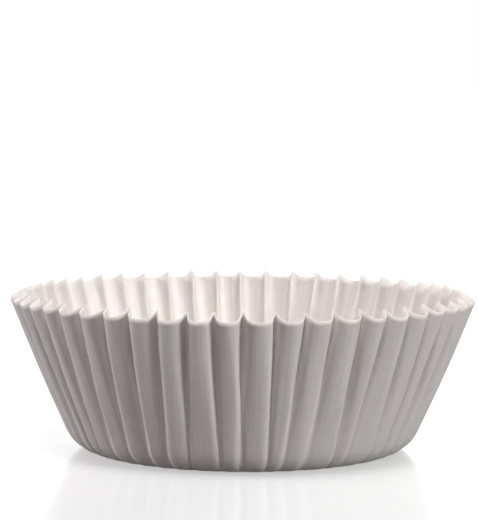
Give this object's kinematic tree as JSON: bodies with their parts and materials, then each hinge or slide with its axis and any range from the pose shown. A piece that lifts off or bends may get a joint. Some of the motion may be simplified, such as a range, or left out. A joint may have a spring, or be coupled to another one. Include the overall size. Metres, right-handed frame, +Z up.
{
  "type": "paper baking cup",
  "caption": "Fluted white paper baking cup with a flat round base and a flared wall, for holding a cupcake or muffin while it bakes.",
  "frame": {"origin": "centre of the underside of the flat base, on the table", "axes": "+Z up along the cup's axis towards the rim, -Y towards the front seen in the picture"},
  "size_m": [0.07, 0.0699, 0.0241],
  "materials": {
    "paper": null
  },
  "bodies": {
    "root": {"baking_cup": "paper"}
  },
  "joints": []
}
